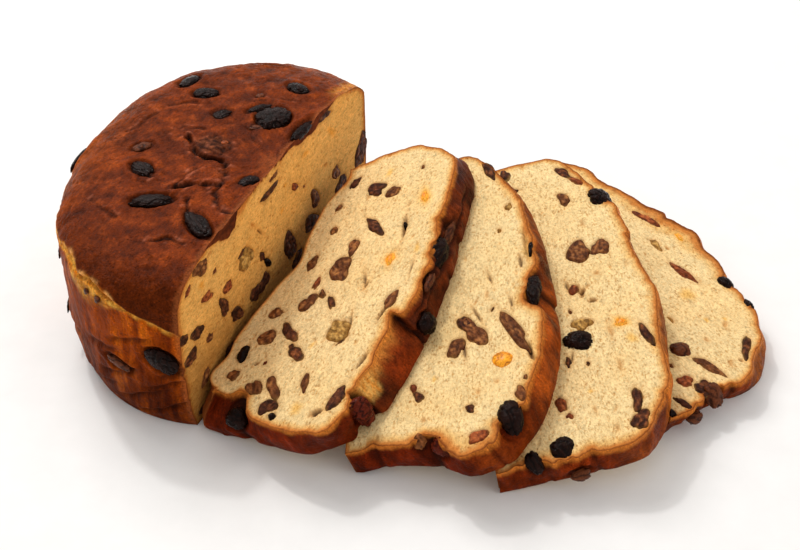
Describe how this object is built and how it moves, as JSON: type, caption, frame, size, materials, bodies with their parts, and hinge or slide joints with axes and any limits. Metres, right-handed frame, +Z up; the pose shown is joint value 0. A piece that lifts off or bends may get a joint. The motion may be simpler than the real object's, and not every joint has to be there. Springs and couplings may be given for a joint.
{
  "type": "barmbrack",
  "caption": "Cut half of a round fruit loaf standing on its base, with thick slices toppled in a fan beside it, dark crust, pale crumb and embedded raisins.",
  "frame": {"origin": "middle of the object's box, at table height", "axes": "+X from the standing half towards the last slice, +Y to the back of the fan, +Z up"},
  "size_m": [0.3162, 0.2452, 0.0839],
  "materials": {
    "crust": "baked, dark red-brown, faint sheen",
    "crumb": "matt, fine open crumb with a golden-brown crust edge",
    "raisin": "dark, wrinkled, sticky sheen",
    "peel": "candied orange, glossy"
  },
  "bodies": {
    "root": {"loaf": "crust", "slice_1": "crumb", "slice_2": "crumb", "slice_3": "crumb", "slice_4": "crumb", "raisin_top_1": "raisin", "raisin_top_2": "raisin", "raisin_top_3": "raisin", "raisin_top_4": "raisin", "raisin_top_5": "raisin", "raisin_top_6": "raisin", "raisin_top_7": "raisin", "raisin_side_1": "raisin", "raisin_slice_1a": "raisin", "raisin_slice_1b": "raisin", "raisin_slice_2a": "raisin", "raisin_slice_2b": "raisin", "peel_slice_2": "peel", "raisin_slice_3a": "raisin", "raisin_slice_3b": "raisin", "raisin_slice_3c": "raisin", "raisin_slice_4a": "raisin", "raisin_slice_4b": "raisin"}
  },
  "joints": []
}
